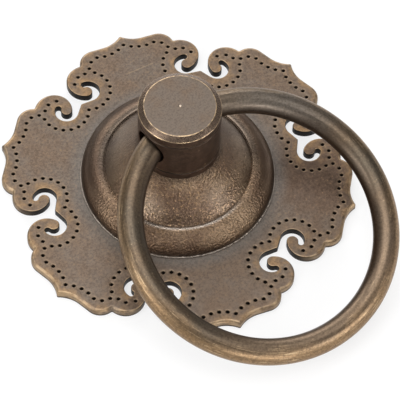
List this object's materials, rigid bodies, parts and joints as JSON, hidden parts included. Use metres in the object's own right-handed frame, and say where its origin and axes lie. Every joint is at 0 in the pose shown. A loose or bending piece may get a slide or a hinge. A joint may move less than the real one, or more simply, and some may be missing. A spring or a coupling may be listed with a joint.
{
  "type": "cabinet handle",
  "caption": "Cabinet ring pull: a round bar ring swings in a turned post on a domed boss and a pierced, scroll-edged rosette plate with punched marks.",
  "frame": {"origin": "centre of the tapped fixing hole at the plate's back face", "axes": "+Z out of the door along the post, X along the ring's hinge axis, the ring hangs towards -Y"},
  "size_m": [0.0828, 0.0991, 0.0305],
  "materials": {
    "plate_bronze": "aged bronze, satin, worn bright along the edges",
    "cast_bronze": "aged bronze, fine cast stipple",
    "turned_bronze": "aged bronze, turned, worn bright at the bevel",
    "ring_bronze": "aged bronze, rubbed satin"
  },
  "bodies": {
    "base": {"back_plate": "plate_bronze", "boss": "cast_bronze", "post": "turned_bronze"},
    "ring": {"ring": "ring_bronze"}
  },
  "joints": [
    {"name": "ring_swing", "type": "hinge", "parent": "base", "child": "ring", "pos_m": [0, 0, 0.0226], "axis": [-1, 0, 0], "range_deg": [-2.4, 216.6]}
  ]
}
